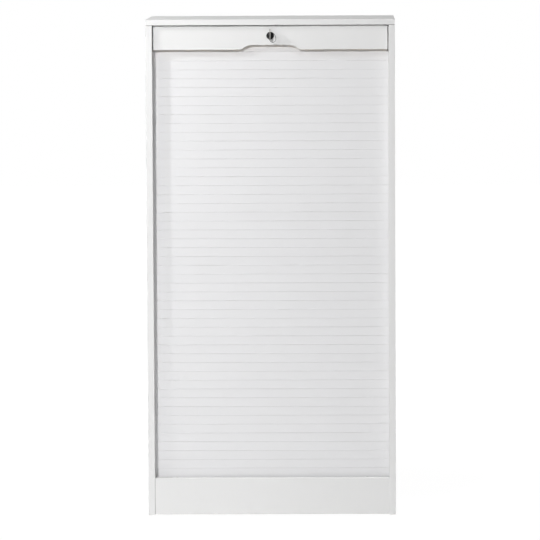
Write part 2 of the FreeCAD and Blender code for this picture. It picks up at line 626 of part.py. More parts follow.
def fittings():
    """Dowels, cam fittings, shelf pins, screws and glides, each kind one group of equal solids."""
    tip, full = "dowel_diameter / 8", "dowel_diameter / 2"
    corners = [("0", "0"), (f"{full} - {tip}", "0"), (full, tip)]
    corners += [(full, f"dowel_length - {tip}"), (f"{full} - {tip}", "dowel_length")]
    dowel = turned("dowel_master", corners + [("0", "dowel_length")], keep=False)
    spots = []
    for side, facing in zip(SIDES, ("+X", "-X")):
        face = f"{side} * ({INNER_WIDTH} / 2 + dowel_shallow)"
        spots += [(face, y, z, facing) for y, z in BUTT_DOWELS + PLINTH_DOWELS + RAIL_DOWELS]
        line = f"{side} * {TOP_FIXING_OUT}"
        spots += [(line, y, f"{TOP_UNDERSIDE} + dowel_shallow", "-Z") for y in TOP_DOWEL_ROWS]
    spread("wood_dowels", dowel, spots)

    shank_end = "cam_distance - bolt_head_length / 2"
    head_end = f"{shank_end} + bolt_head_length"
    corners = [("0", "-bolt_thread_length"), ("bolt_thread_diameter / 2", "-bolt_thread_length")]
    corners += [("bolt_thread_diameter / 2", "0"), ("bolt_shank_diameter / 2", "0")]
    corners += [("bolt_shank_diameter / 2", shank_end), ("bolt_head_diameter / 2", shank_end)]
    corners += [("bolt_head_diameter / 2", head_end), ("0", head_end)]
    bolt = turned("bolt_master", corners, keep=False)
    spots = []
    for side, facing in zip(SIDES, ("+X", "-X")):
        spots += [(f"{side} * {INNER_WIDTH} / 2", y, z, facing) for y, z in BUTT_BOLTS]
        spots += [(f"{side} * {TOP_FIXING_OUT}", y, TOP_UNDERSIDE, "-Z") for y in TOP_BOLT_ROWS]
    spread("cam_bolts", bolt, spots)

    disc = doc.addObject("PartDesign::Body", "disc_master")
    base = new_sketch(disc, "XY_Plane")
    circle(base, "0", "0", "cam_disc_diameter")
    pad(disc, base, "cam_disc_depth", reverse=True)
    drill(disc, "YZ_Plane", "0", [("0", "-board_thickness / 2")], BOLT_BORE, "cam_disc_diameter", True)
    seat = "(bolt_head_length / 2 + drill_end_play)"
    drill(disc, "YZ_Plane", "0", [("0", "-board_thickness / 2")], BOLT_BORE, seat)
    cross = new_sketch(disc, "XY_Plane")
    half, reach = "cam_disc_slot / 2", "cam_disc_diameter / 4"
    corners = [(reach, half), (half, half), (half, reach)]
    corners += [(f"-{half}", reach), (f"-{half}", half), (f"-{reach}", half)]
    corners += [(f"-{reach}", f"-{half}"), (f"-{half}", f"-{half}"), (f"-{half}", f"-{reach}")]
    corners += [(half, f"-{reach}"), (half, f"-{half}"), (reach, f"-{half}")]
    outline(cross, corners)
    pocket(disc, cross, "cam_disc_slot")
    spots = []
    for side, inward, outward in zip(SIDES, ("+X", "-X"), ("-X", "+X")):
        wall = f"{side} * {INNER_WIDTH} / 2"
        spots += [(wall, y, f"{TOP_UNDERSIDE} - cam_distance", inward, "+Z") for y in TOP_BOLT_ROWS]
        for front, rear, underside in BUTTED_BOARDS:
            column = f"{side} * ({INNER_WIDTH} / 2 - cam_distance)"
            rows = (f"{front} + cam_inset", f"{rear} - cam_inset")
            spots += [(column, y, underside, "-Z", outward) for y in rows]
    spread("cam_discs", disc, spots)

    round_of_pin = "pin_diameter / 2"
    corners = [("0", "0"), (round_of_pin, "0"), (round_of_pin, "pin_length"), ("0", "pin_length")]
    pin = turned("pin_master", corners, keep=False)
    spots = []
    for side, facing in zip(SIDES, ("+X", "-X")):
        start = f"{side} * ({INNER_WIDTH} / 2 + pin_depth)"
        spots += [(start, y, z, facing) for y in PIN_COLUMNS for z in PIN_LEVELS]
    spread("shelf_pins", pin, spots)

    tip, rim = "screw_shank_diameter / 2", "screw_head_diameter / 2"
    corners = [("0", "-screw_length"), (tip, f"-screw_length + {tip}"), (tip, "0"), (rim, "0")]
    corners += [(rim, "screw_head_height / 2"), (f"{rim} / 2", "screw_head_height")]
    screw = turned("screw_master", corners + [("0", "screw_head_height")], keep=False)

    def both_sides(offsets, y, levels):
        return [(f"{side} * ({x})", y, z, "+Y") for side in SIDES for x in offsets for z in levels]

    spots = both_sides([BACK_SCREW_OUT], f"{REAR} - back_inset", BACK_SCREW_LEVELS)
    spread("back_screws", screw, spots)
    spread("strip_screws", screw, both_sides(STRIP_SCREWS, SLAT_BACK, [STRIP_SCREW_LEVEL]))
    spread("runner_screws", screw, both_sides([RUNNER_SCREW_OUT], SLAT_BACK, RUNNER_SCREW_LEVELS))
    flange = f"{TOP_UNDERSIDE} - strike_thickness"
    spread("strike_screws", screw, [(x, STRIKE_SCREW_ROW, flange, "-Z") for x in STRIKE_SCREWS])

    nail = "glide_nail_diameter / 2"
    corners = [("0", "0"), ("glide_diameter / 2 - 1", "0"), ("glide_diameter / 2", "1")]
    corners += [("glide_diameter / 2", "glide_height"), (nail, "glide_height")]
    corners += [(nail, "glide_height + glide_nail_length"), ("0", "glide_height + glide_nail_length")]
    glide = turned("glide_master", corners, keep=False)
    out = "(cabinet_width / 2 - side_thickness / 2)"
    spread("floor_glides", glide, [(f"{side} * {out}", y, "0", "+Z") for side in SIDES for y in GLIDE_ROWS])

    rim = "buffer_diameter / 2"
    corners = [("0", "0"), (rim, "0"), (rim, "buffer_thickness / 2")]
    corners += [(f"{rim} - 1", "buffer_thickness"), ("0", "buffer_thickness")]
    buffer = turned("buffer_master", corners, keep=False)
    row = f"{BAR_FRONT} + bar_round"
    spread("plinth_buffers", buffer, [(f"{side} * {BUFFER_OUT}", row, PLINTH_TOP, "+Z") for side in SIDES])


def cut_socket(body, front, length):
    """The channel in a slat's lower edge that holds the bead of the slat below."""
    centre = f"{front} + bead_inset"
    half = "(neck_thickness / 2 + neck_clearance)"
    bore = new_sketch(body, "YZ_Plane")
    circle(bore, centre, "bead_rise", "bead_diameter + 2 * bead_clearance")
    pocket(body, bore, length, True)
    mouth = new_sketch(body, "YZ_Plane")
    rectangle(mouth, f"{centre} - {half}", "0", f"{centre} + {half}", "bead_rise")
    pocket(body, mouth, length, True)


def curtain():
    """The slats, hooked into one another, with their ends in the grooves of the side panels."""
    slat = doc.addObject("PartDesign::Body", "slat_master")
    low, high = "slat_gap / 2", "slat_pitch - slat_gap / 2"
    face = new_sketch(slat, "YZ_Plane")
    rectangle(face, "0", low, "slat_thickness", high)
    pad(slat, face, SLAT_LENGTH)
    soften(slat, "slat_round", {"y": "0", "z": low}, {"y": "0", "z": high})
    cut_socket(slat, "0", SLAT_LENGTH)
    neck = new_sketch(slat, "YZ_Plane")
    left, right = "bead_inset - neck_thickness / 2", "bead_inset + neck_thickness / 2"
    rectangle(neck, left, f"{high} - neck_thickness", right, "slat_pitch + bead_rise")
    pad(slat, neck, SLAT_LENGTH)
    bead = new_sketch(slat, "YZ_Plane")
    circle(bead, "bead_inset", "slat_pitch + bead_rise", "bead_diameter")
    pad(slat, bead, SLAT_LENGTH)
    levels = [f"{FIRST_JOINT} - {index + 1} * slat_pitch" for index in range(int(SIZES["slat_count"]))]
    spread("curtain_slats", slat, [(f"-{SLAT_LENGTH} / 2", SLAT_FRONT, level, "+Z") for level in levels])


def runner(label, side):
    """A plastic guide behind one end of the bar, with a tongue in the groove of the side panel."""
    body = new_body(label)
    plan = new_sketch(body, "XY_Plane")
    tongue = "(bar_side_gap + groove_depth - slat_end_clearance)"
    corners = [("0", "0"), ("runner_plate", "0"), ("runner_plate", "bar_back_gap")]
    corners += [(f"runner_plate + {tongue}", "bar_back_gap"), (f"runner_plate + {tongue}", STRIP_DEPTH)]
    corners += [("0", STRIP_DEPTH)]
    if side < 0:
        corners = [(f"runner_plate + {tongue} - ({x})", y) for x, y in corners]
        corners[3:5] = [("0", y) for _, y in corners[3:5]]
    outline(plan, corners)
    pad(body, plan, "runner_height")
    hole = "runner_plate / 2" if side > 0 else f"{tongue} + runner_plate / 2"
    spots = [(hole, "runner_height / 4"), (hole, "runner_height * 3 / 4")]
    drill(body, "XZ_Plane", "0", spots, SCREW_BORE, STRIP_DEPTH)
    start = f"{BAR_LENGTH} / 2 - runner_plate" if side > 0 else f"-{BAR_LENGTH} / 2 - {tongue}"
    place(body, start, BAR_BACK, f"{RUNNER_TOP} - runner_height")


def handle_bar():
    """The bar with its finger notch, and what joins it to the curtain and the grooves."""
    bar = new_body("handle_bar")
    face = new_sketch(bar, "XZ_Plane")
    rectangle(face, "0", "0", BAR_LENGTH, "bar_height")
    pad(bar, face, "bar_thickness", reverse=True)
    soften(bar, "bar_round", {"y": "0"})

    notch = new_sketch(bar, "XZ_Plane")
    radius = "((notch_shoulder ^ 2 + notch_height ^ 2) / (2 * notch_height))"
    middle = f"{BAR_LENGTH} / 2"
    flat_left, flat_right = f"{middle} - notch_flat / 2", f"{middle} + notch_flat / 2"
    foot_left, foot_right = f"{flat_left} - notch_shoulder", f"{flat_right} + notch_shoulder"
    opening = math.asin(number("notch_shoulder") / number(radius))
    up = FreeCAD.Vector(0, 0, 1)
    flat_ends = flat(flat_right, "notch_height"), flat(flat_left, "notch_height")
    flat_line = notch.addGeometry(Part.LineSegment(*flat_ends))
    left_round = Part.Circle(flat(flat_left, f"notch_height - {radius}"), up, number(radius))
    left_arc = notch.addGeometry(Part.ArcOfCircle(left_round, math.pi / 2, math.pi / 2 + opening))
    foot_line = notch.addGeometry(Part.LineSegment(flat(foot_left, "0"), flat(foot_right, "0")))
    right_round = Part.Circle(flat(flat_right, f"notch_height - {radius}"), up, number(radius))
    right_arc = notch.addGeometry(Part.ArcOfCircle(right_round, math.pi / 2 - opening, math.pi / 2))
    loop = [flat_line, left_arc, foot_line, right_arc]
    starts = [(flat_right, "notch_height"), (flat_left, "notch_height")]
    starts += [(foot_left, "0"), (foot_right, "0")]
    for geometry, following, start in zip(loop, loop[1:] + loop[:1], starts):
        notch.addConstraint(Sketcher.Constraint("Coincident", geometry, 2, following, 1))
        pin_point(notch, geometry, 1, *start)
    for arc, centre in ((left_arc, flat_left), (right_arc, flat_right)):
        rule = Sketcher.Constraint("DistanceX", -1, 1, arc, 3, number(centre))
        bind(notch, f"Constraints[{notch.addConstraint(rule)}]", centre)
    pocket(bar, notch, "bar_thickness")

    lock_hole = "barrel_diameter + 2 * lock_hole_clearance"
    drill(bar, "XZ_Plane", "0", [(middle, "bar_height - lock_drop")], lock_hole, "bar_thickness")
    spots = [(f"{middle} + {side} * ({x})", "notch_height / 2") for side in SIDES for x in STRIP_SCREWS]
    levels = [f"{z} - {BAR_BOTTOM}" for z in RUNNER_SCREW_LEVELS]
    spots += [(f"{middle} + {side} * {RUNNER_SCREW_OUT}", z) for side in SIDES for z in levels]
    depth = f"screw_length - {STRIP_DEPTH} + drill_end_play"
    drill(bar, "XZ_Plane", "-bar_thickness", spots, SCREW_BORE, depth, True)
    place(bar, f"-{BAR_LENGTH} / 2", BAR_FRONT, BAR_BOTTOM)

    strip = new_body("curtain_strip")
    profile = new_sketch(strip, "YZ_Plane")
    rectangle(profile, "0", "slat_gap / 2", STRIP_DEPTH, STRIP_HEIGHT)
    pad(strip, profile, BAR_LENGTH)
    cut_socket(strip, "bar_back_gap", BAR_LENGTH)
    level = f"{STRIP_SCREW_LEVEL} - {FIRST_JOINT}"
    spots = [(f"{middle} + {side} * ({x})", level) for side in SIDES for x in STRIP_SCREWS]
    drill(strip, "XZ_Plane", "0", spots, SCREW_BORE, STRIP_DEPTH)
    place(strip, f"-{BAR_LENGTH} / 2", BAR_BACK, FIRST_JOINT)

    runner("left_runner", -1)
    runner("right_runner", 1)


def lock():
    """A cylinder lock in the bar, its cam behind, and the strike that the cam catches."""
    lip_floor = f"({PLUG_FACE} - plug_lip_thickness)"
    bore, lip_bore = "plug_diameter / 2 + plug_fit", "plug_lip_diameter / 2 + plug_fit"
    rim, barrel = "rosette_diameter / 2", "barrel_diameter / 2"
    corners = [(bore, f"-{BARREL_LENGTH}"), (barrel, f"-{BARREL_LENGTH}"), (barrel, "0")]
    corners += [(rim, "0"), (rim, "rosette_thickness - rosette_chamfer")]
    corners += [(f"{rim} - rosette_chamfer", "rosette_thickness"), (lip_bore, "rosette_thickness")]
    corners += [(lip_bore, f"{lip_floor} - plug_fit"), (bore, f"{lip_floor} - plug_fit")]
    housing = turned("lock_housing", corners)

    plug_round, lip_round = "plug_diameter / 2", "plug_lip_diameter / 2"
    corners = [("0", f"-{PLUG_LENGTH}"), (plug_round, f"-{PLUG_LENGTH}"), (plug_round, lip_floor)]
    plug = turned("lock_plug", corners + [(lip_round, lip_floor), (lip_round, PLUG_FACE), ("0", PLUG_FACE)])
    keyway = new_sketch(plug, "XY_Plane", PLUG_FACE)
    half_width, half_height = "keyway_width / 2", "keyway_height / 2"
    rectangle(keyway, f"-{half_width}", f"-{half_height}", half_width, half_height)
    pocket(plug, keyway, "keyway_depth")
    tail = new_sketch(plug, "XY_Plane", f"-{PLUG_LENGTH}")
    half = "tail_square / 2"
    rectangle(tail, f"-{half}", f"-{half}", half, half)
    tail_length = "(cam_thickness - tail_fit)"
    pad(plug, tail, tail_length, reverse=True)
    screw_bore = "cam_screw_diameter + 2 * drill_clearance"
    screw_depth = "cam_screw_length - tail_fit + drill_end_play"
    tail_end = f"-({PLUG_LENGTH} + {tail_length})"
    drill(plug, "XY_Plane", tail_end, [("0", "0")], screw_bore, screw_depth, True)

    cam = new_body("lock_cam")
    lever = new_sketch(cam, "XY_Plane", f"-{PLUG_LENGTH}")
    half = "cam_width / 2"
    rectangle(lever, f"-{half}", f"-{half}", half, CAM_REACH)
    pad(cam, lever, "cam_thickness", reverse=True)
    corners = [{"x": x, "y": y} for x in (f"-{half}", half) for y in (f"-{half}", CAM_REACH)]
    soften(cam, "cam_width / 2 - tail_fit", *corners)
    square = new_sketch(cam, "XY_Plane", f"-{PLUG_LENGTH}")
    half = "(tail_square / 2 + tail_fit)"
    rectangle(square, f"-{half}", f"-{half}", half, half)
    pocket(cam, square, "cam_thickness")

    shank, head = "cam_screw_diameter / 2", "cam_screw_head_diameter / 2"
    seat = f"(-{PLUG_LENGTH} - cam_thickness)"
    screw_tip, head_face = f"{seat} + cam_screw_length", f"{seat} - cam_screw_head_height"
    corners = [("0", screw_tip), (shank, screw_tip), (shank, seat)]
    corners += [(head, seat), (head, head_face), ("0", head_face)]
    cam_screw = turned("cam_screw", corners)

    for body in (housing, plug, cam, cam_screw):
        face_front(body)
        place(body, "0", BAR_FRONT, LOCK_LEVEL)

    hexagon = doc.addObject("Part::Prism", "nut_blank")
    hexagon.Polygon = 6
    bind(hexagon, "Circumradius", "nut_across / sqrt(3)")
    bind(hexagon, "Height", "nut_thickness")
    thread = doc.addObject("Part::Cylinder", "nut_thread")
    bind(thread, "Radius", "barrel_diameter / 2 + nut_fit")
    bind(thread, "Height", "nut_thickness")
    nut = piece(doc.addObject("Part::Cut", "lock_nut"), "lock_nut")
    nut.Base = hexagon
    nut.Tool = thread
    face_front(nut)
    place(nut, "0", f"{BAR_BACK} + nut_thickness", LOCK_LEVEL)

    strike = new_body("strike_bracket")
    profile = new_sketch(strike, "YZ_Plane")
    drop = f"({TOP_UNDERSIDE} - {STRIKE_TONGUE})"
    tongue = "(cam_thickness + strike_gap - cam_gap)"
    web = f"({tongue} + strike_thickness)"
    flange_end = f"{web} + strike_flange"
    under_flange = f"{drop} - strike_thickness"
    corners = [("0", "0"), (web, "0"), (web, under_flange), (flange_end, under_flange)]
    corners += [(flange_end, drop), (tongue, drop)]
    corners += [(tongue, "strike_thickness"), ("0", "strike_thickness")]
    outline(profile, corners)
    pad(strike, profile, "strike_width")
    row = f"{STRIKE_SCREW_ROW} - ({STRIKE_FRONT} - {tongue})"
    holes = [("strike_width / 4", row), ("strike_width * 3 / 4", row)]
    drill(strike, "XY_Plane", drop, holes, SCREW_BORE, "strike_thickness")
    place(strike, STRIKE_LEFT, f"{STRIKE_FRONT} - {tongue}", STRIKE_TONGUE)


def key_and_ring():
    """The key in the lock, seen edge on from the front, and the wire ring through its bow."""
    key = new_body("key")
    bow = new_sketch(key, "YZ_Plane")
    low, high = "bow_offset - bow_height / 2", "bow_offset + bow_height / 2"
    rectangle(bow, low, BOW_START, high, f"{BOW_START} + bow_depth")
    pad(key, bow, "key_thickness", middle=True)
    corners = [{"y": y, "z": z} for y in (low, high) for z in (BOW_START, f"{BOW_START} + bow_depth")]
    soften(key, "bow_round", *corners)
    blade = new_sketch(key, "YZ_Plane")
    tip = f"({PLUG_FACE} - key_blade_length)"
    rectangle(blade, "-key_blade_height / 2", tip, "key_blade_height / 2", f"{BOW_START} + bow_depth / 4")
    pad(key, blade, "key_thickness", middle=True)
    teeth = new_sketch(key, "YZ_Plane", "-key_thickness / 2")
    edge, flank = "-key_blade_height / 2", "key_tooth_pitch / 3"
    for index in range(1, 4):
        root = f"{tip} + {index} * key_tooth_pitch"
        notch_ends = [(edge, f"{root} - {flank}"), (edge, f"{root} + {flank}")]
        outline(teeth, notch_ends + [(f"{edge} + key_tooth_depth", root)])
    pocket(key, teeth, "key_thickness", True)
    hole = ("key_hole_rise", f"{BOW_START} + key_hole_reach")
    drill(key, "YZ_Plane", "-key_thickness / 2", [hole], "key_hole_diameter", "key_thickness", True)
    face_front(key)
    place(key, "0", BAR_FRONT, LOCK_LEVEL)

    ring = piece(doc.addObject("Part::Torus", "key_ring"), "key_ring")
    bind(ring, "Radius1", "ring_radius")
    bind(ring, "Radius2", "ring_wire_diameter / 2")
    lean, turn = math.radians(number("ring_lean")), math.radians(number("ring_turn"))
    out_of_ring = (-math.cos(lean) * math.sin(turn), -math.cos(turn), -math.sin(lean) * math.sin(turn))
    ring.Placement.Rotation = FreeCAD.Rotation(FreeCAD.Vector(0, 0, 1), FreeCAD.Vector(*out_of_ring))
    hole_front = f"{BAR_FRONT} - {BOW_START} - key_hole_reach"
    hole_level = f"{LOCK_LEVEL} + key_hole_rise"
    place(ring, "ring_radius * sin(ring_lean)", hole_front, f"{hole_level} - ring_radius * cos(ring_lean)")


def write_parts():
    """Check every object of the document and write each sub-part to its own file."""
    doc.recompute()
    for item in doc.Objects:
        if "Invalid" in item.State or "Error" in item.State:
            raise RuntimeError(f"{item.Label} did not build: {item.State}")
    os.makedirs("parts", exist_ok=True)
    for item in pieces:
        if item.Shape.isNull() or not item.Shape.isValid() or not item.Shape.Solids:
            raise RuntimeError(f"{item.Label} has no sound solid")
        item.Shape.exportStep(f"parts/{item.Label}.step")
        print(f"{item.Label}: {len(item.Shape.Solids)} solids, {item.Shape.Volume / 1000:.1f} cm3")


carcass()
fittings()
curtain()
handle_bar()
lock()
key_and_ring()
write_parts()
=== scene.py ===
# %% [markdown]
# # A white tambour door cabinet
# The CAD frame gives every solid of the cabinet in metres. This lesson dresses it: a camera and lights
# first, then a finish for each kind of surface, then the pieces that plain solids can't show well, which are
# the slatted curtain, the cross-head screws, the shelf pins and the split ring on the key.

# %% Load the frame
import json
import math

import bpy
import numpy as np
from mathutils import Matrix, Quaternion, Vector


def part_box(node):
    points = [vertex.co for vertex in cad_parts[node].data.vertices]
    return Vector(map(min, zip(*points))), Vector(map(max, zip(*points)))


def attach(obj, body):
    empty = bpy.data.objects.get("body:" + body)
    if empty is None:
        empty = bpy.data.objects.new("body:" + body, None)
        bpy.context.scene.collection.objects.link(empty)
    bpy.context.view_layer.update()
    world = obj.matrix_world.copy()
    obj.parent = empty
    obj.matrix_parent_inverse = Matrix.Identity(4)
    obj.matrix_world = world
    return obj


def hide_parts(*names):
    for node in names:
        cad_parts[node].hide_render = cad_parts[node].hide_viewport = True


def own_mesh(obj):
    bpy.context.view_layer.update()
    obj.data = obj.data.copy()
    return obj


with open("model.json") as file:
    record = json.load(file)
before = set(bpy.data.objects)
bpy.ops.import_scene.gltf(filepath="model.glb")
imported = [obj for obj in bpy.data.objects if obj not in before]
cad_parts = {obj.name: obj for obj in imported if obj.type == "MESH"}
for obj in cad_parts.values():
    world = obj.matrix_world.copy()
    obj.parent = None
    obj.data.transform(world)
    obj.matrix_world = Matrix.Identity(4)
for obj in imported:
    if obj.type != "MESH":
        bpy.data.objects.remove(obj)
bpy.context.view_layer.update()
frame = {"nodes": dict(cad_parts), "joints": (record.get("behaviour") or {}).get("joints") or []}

scene = bpy.context.scene
nodes = frame["nodes"]

# %% [markdown]
# ## Camera
# The photograph was taken with upright lines kept upright. A long lens from far away does the same without a
# shifted lens: its rays are nearly parallel, so a slightly raised camera shows the top as a thin band and the
# sides stay straight. The small roll follows the tilt of the picture.

# %% Place the camera
CAMERA_DISTANCE = 12.0
CAMERA_AZIMUTH = math.radians(1.098)
CAMERA_ELEVATION = math.radians(4.883)
CAMERA_ROLL = math.radians(-0.283)
CAMERA_TARGET = Vector((-0.0033, -0.2, 0.6986))
FRAME_WIDTH = 1.5218

camera = bpy.data.objects.new("camera", bpy.data.cameras.new("camera"))
scene.collection.objects.link(camera)
backward = Vector((
    math.sin(CAMERA_AZIMUTH) * math.cos(CAMERA_ELEVATION),
    -math.cos(CAMERA_AZIMUTH) * math.cos(CAMERA_ELEVATION),
    math.sin(CAMERA_ELEVATION),
))
camera.location = CAMERA_TARGET + backward * CAMERA_DISTANCE
camera.rotation_mode = "QUATERNION"
level_view = (-backward).to_track_quat("-Z", "Y")
camera.rotation_quaternion = level_view @ Quaternion((0, 0, 1), CAMERA_ROLL)
camera.data.lens = camera.data.sensor_width * CAMERA_DISTANCE / FRAME_WIDTH
camera.data.clip_end = 100
scene.camera = camera
scene.view_settings.view_transform = "Standard"
print("lens", round(camera.data.lens, 1), "mm")

# %% [markdown]
# ## Node trees in plain maths
# Finishes and repeated pieces are both node trees. One class builds a tree: `add` makes a node, sets it, then
# fills its sockets. The other wraps a socket, so that a mask such as `1 - mask` can be written as maths and
# turns into Math nodes by itself.


# %% Tree and wire classes
class Wire:
    """One socket of a tree; an operation on it adds a Math node."""

    def __init__(self, tree, socket):
        self.tree, self.socket = tree, socket

    def math(self, operation, *values):
        return self.tree.add("ShaderNodeMath", {"operation": operation}, values)

    def __add__(self, other):
        return self.math("ADD", self, other)

    def __sub__(self, other):
        return self.math("SUBTRACT", self, other)

    def __rsub__(self, other):
        return self.math("SUBTRACT", other, self)

    def __mul__(self, other):
        return self.math("MULTIPLY", self, other)

    __rmul__ = __mul__

    def __truediv__(self, other):
        return self.math("DIVIDE", self, other)

    def __gt__(self, other):
        return self.math("GREATER_THAN", self, other)

    def __lt__(self, other):
        return self.math("LESS_THAN", self, other)

    def __abs__(self):
        return self.math("ABSOLUTE", self)

    def least(self, other):
        return self.math("MINIMUM", self, other)

    def most(self, other):
        return self.math("MAXIMUM", self, other)

    def sine(self):
        return self.math("SINE", self)


class Tree:
    """A node tree under construction."""

    def __init__(self, tree):
        self.tree = tree

    def add(self, kind, settings=None, sockets=(), out=0):
        node = self.tree.nodes.new(kind)
        for name, value in (settings or {}).items():
            setattr(node, name, value)
        pairs = sockets.items() if isinstance(sockets, dict) else enumerate(sockets)
        for key, value in pairs:
            if isinstance(value, Wire):
                self.tree.links.new(value.socket, node.inputs[key])
            else:
                node.inputs[key].default_value = value
        if isinstance(out, tuple):
            return [Wire(self, node.outputs[name]) for name in out]
        return Wire(self, node.outputs[out])


print("tree helpers ready")

# %% [markdown]
# ## Finishes
# A finish starts from a Principled shader. Patterns read Object coordinates, which are metres of the real
# cabinet, because every piece keeps its place in its mesh. Constant values sit on the shader's own sockets.


# %% Finish class
class Finish(Tree):
    """A material: a Principled shader with its own coordinates."""

    def __init__(self, name, colour, roughness, **constants):
        self.material = bpy.data.materials.new(name)
        self.material.use_nodes = True
        super().__init__(self.material.node_tree)
        self.shader = self.tree.nodes["Principled BSDF"]
        self.set("Base Color", (*colour, 1))
        self.set("Roughness", roughness)
        for socket, value in constants.items():
            self.set(socket.replace("_", " "), value)
        self.place = self.add("ShaderNodeTexCoord", out="Object")
        self.x, self.y, self.z = self.add("ShaderNodeSeparateXYZ", None, [self.place], out=("X", "Y", "Z"))

    def set(self, socket, value):
        if isinstance(value, Wire):
            self.tree.links.new(value.socket, self.shader.inputs[socket])
        else:
            self.shader.inputs[socket].default_value = value

    def stretched(self, x, y, z):
        return self.add("ShaderNodeMapping", None, {"Vector": self.place, "Scale": (x, y, z)})

    def noise(self, scale, detail=2.0, where=None):
        where = where or self.place
        return self.add("ShaderNodeTexNoise", None, {"Vector": where, "Scale": scale, "Detail": detail})

    def cells(self, scale):
        wire = self.add("ShaderNodeTexVoronoi", None, {"Vector": self.place, "Scale": scale}, out="Color")
        return self.add("ShaderNodeSeparateColor", None, [wire])

    def blend(self, factor, first, second):
        return self.add("ShaderNodeMix", {"data_type": "RGBA"}, {0: factor, 6: first, 7: second}, out=2)

    def spread(self, value, low, high):
        """Scale a pattern that runs from 0 to 1 to another range."""
        return value * (high - low) + low

    def bump(self, height, depth):
        self.set("Normal", self.add("ShaderNodeBump", None, {"Distance": depth, "Height": height}))


def paint(node, finish):
    for slot in nodes[node].material_slots:
        slot.material = finish.material


print("finish helpers ready")

# %% [markdown]
# ## White boards
# Melamine-faced chipboard is white paper resin on pressed chips. The faces have a faint pearl grain. A white
# band is glued on the edges that show, and its joint is a hairline on the face one millimetre behind the
# edge. Where the band runs along the top edge, its top is painted paler, a painted highlight of the light
# that edge catches. Edges that nobody sees stay raw, and so does whatever a cutter took out: grooves, holes
# and rebates. A point lies in a cut when it is inside the board's box, so the box alone gives that mask.
# Where another board butts against the face, a dark line shows the joint; the dark line at the plinth's left
# end is a painted shadow, the shade the left side panel casts there.

# %% Board finish
WHITE = (0.84, 0.84, 0.836)
SHADED_WHITE = tuple(value * 0.93 for value in WHITE)
# Paler white of the painted highlight along top edges.
PAINTED_HIGHLIGHT_WHITE = (0.96, 0.96, 0.956, 1)
SEAM = (0.60, 0.59, 0.575, 1)
JOINT_AND_SHADOW_LINE = (0.20, 0.19, 0.18, 1)
CHIP_LIGHT = (0.62, 0.47, 0.30, 1)
CHIP_DARK = (0.36, 0.25, 0.145, 1)

BAND = 0.001
PAINTED_HIGHLIGHT_LIFT = 0.8
SEAM_HALF_WIDTH = 0.00014
JOINT_AND_SHADOW_WIDTH = 0.0011
JOINT_SHADE = 0.8
CUT_DEPTH = 0.0005
SKIN = 0.0002

CLOUD_SCALE = 2.2
GLOSS_SCALE = 14.0
FIBRE_SCALE = 160.0
CHIP_SCALE = 480.0
PEARL_SCALE = 1500.0
FAINTEST_TONE = 0.965
FACE_SHINE = 0.25
FACE_ROUGHNESS = (0.56, 0.70)
RAW_ROUGHNESS = 0.25
PEARL_SHARE = 0.05
CHIP_RELIEF = 0.0004


def melamine(node, band="y", raw=("rear",), joints=()):
    """The finish of one board: banded edge, painted edge highlight, raw edges, and dark joint and painted
    shadow lines.
    """
    low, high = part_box(node)
    finish = Finish("melamine_" + node, WHITE, FACE_ROUGHNESS[0], Specular_IOR_Level=FACE_SHINE)
    tone = finish.spread(finish.noise(CLOUD_SCALE, detail=3.0), FAINTEST_TONE, 1.0)
    colour = finish.blend(tone, (*SHADED_WHITE, 1), (*WHITE, 1))
    if band == "y":
        from_band = finish.y - low.y
    else:
        from_band = high.z - finish.z
        # Painted highlight: on a board banded along its top edge, the top two millimetres turn a paler white,
        # standing in for the light that edge catches.
        colour = finish.blend((from_band < BAND * 2) * PAINTED_HIGHLIGHT_LIFT, colour, PAINTED_HIGHLIGHT_WHITE)
    colour = finish.blend(abs(from_band - BAND) < SEAM_HALF_WIDTH, colour, SEAM)
    # Dark lines along the given edges: at a side panel's top a joint line, at the plinth's left end a painted
    # shadow of the left side panel.
    for edge in joints:
        from_dark_line = high.z - finish.z if edge == "top" else finish.x - low.x
        colour = finish.blend((from_dark_line < JOINT_AND_SHADOW_WIDTH) * JOINT_SHADE, colour, JOINT_AND_SHADOW_LINE)

    inside = (finish.x - low.x).least(high.x - finish.x)
    inside = inside.least((finish.y - low.y).least(high.y - finish.y))
    inside = inside.least((finish.z - low.z).least(high.z - finish.z))
    bare = inside > CUT_DEPTH
    if "rear" in raw:
        bare = bare.most(finish.y > high.y - SKIN)
    if "low" in raw:
        bare = bare.most(finish.z < low.z + SKIN)
    chips = finish.cells(CHIP_SCALE)
    wood = finish.blend(finish.noise(FIBRE_SCALE, detail=4.0) * 0.5 + chips * 0.5, CHIP_DARK, CHIP_LIGHT)
    finish.set("Base Color", finish.blend(bare, colour, wood))

    gloss = finish.spread(finish.noise(GLOSS_SCALE, detail=3.0), *FACE_ROUGHNESS)
    finish.set("Roughness", gloss + bare * RAW_ROUGHNESS)
    pearl = finish.noise(PEARL_SCALE)
    finish.bump(pearl * PEARL_SHARE + bare * chips, CHIP_RELIEF)
    paint(node, finish)


for node in ("left_side_panel", "right_side_panel"):
    melamine(node, raw=("rear", "low"), joints=("top",))
for node in ("top_panel", "bottom_panel", "fixed_shelf", "lower_shelf", "upper_shelf"):
    melamine(node)
# The plinth's left end gets a painted shadow line, the shade the left side panel casts there; its lit right
# end gets none.
melamine("front_plinth", band="z", raw=("low",), joints=("left",))
melamine("base_rail", band="z", raw=("low",))
melamine("handle_bar", band="z", raw=("low",))
print("white boards:", sum(o.active_material.name.startswith("melamine") for o in nodes.values()))

# %% [markdown]
# ## Hardboard backs
# Both backs are thin pressed fibre. The inner one has a smooth white lacquer. The outer one is raw: brown,
# cloudy, with dark fibres and the fine mesh of the press on its rear face.

